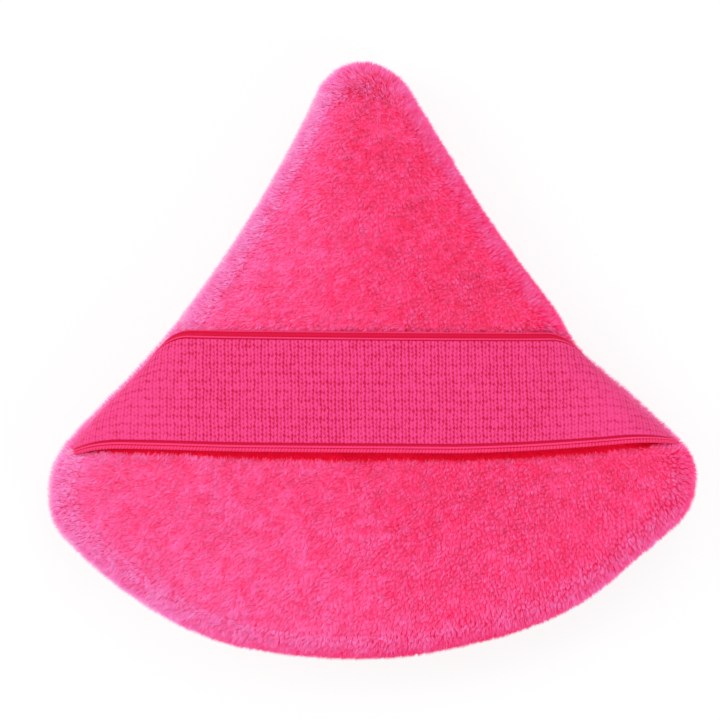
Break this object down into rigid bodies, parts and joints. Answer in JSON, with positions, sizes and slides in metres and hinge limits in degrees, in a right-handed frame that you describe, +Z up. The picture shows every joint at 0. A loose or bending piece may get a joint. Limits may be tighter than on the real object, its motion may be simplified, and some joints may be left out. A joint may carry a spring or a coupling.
{
  "type": "powder puff",
  "caption": "Triangular plush powder puff with a rounded bottom edge and a knit elastic finger strap sewn into its side seams.",
  "frame": {"origin": "middle of the puff's outline, on the flat where its back cover rests", "axes": "+X across the puff from corner to corner, +Y towards its apex, +Z up out of the strap side"},
  "size_m": [0.08, 0.0734, 0.0153],
  "materials": {
    "plush_front": "matte",
    "plush_back": "matte",
    "foam": "matte",
    "knit_elastic": "matte",
    "strap_edge": "matte",
    "sewing_thread": "matte"
  },
  "bodies": {
    "puff": {"front_cover": "plush_front", "back_cover": "plush_back", "foam_core": "foam", "needle_thread": "sewing_thread", "bobbin_thread": "sewing_thread", "right_strap_tack": "sewing_thread", "left_strap_tack": "sewing_thread", "closing_stitch": "sewing_thread"},
    "strap": {"strap_band": "knit_elastic", "strap_upper_binding": "strap_edge", "strap_lower_binding": "strap_edge"}
  },
  "joints": [
    {"name": "strap_lift", "type": "slide", "parent": "puff", "child": "strap", "axis": [0, 0, 1], "range_m": [0, 0.012], "stiffness_N_per_m": 150, "deforming": ["strap_band", "strap_upper_binding", "strap_lower_binding"]}
  ]
}
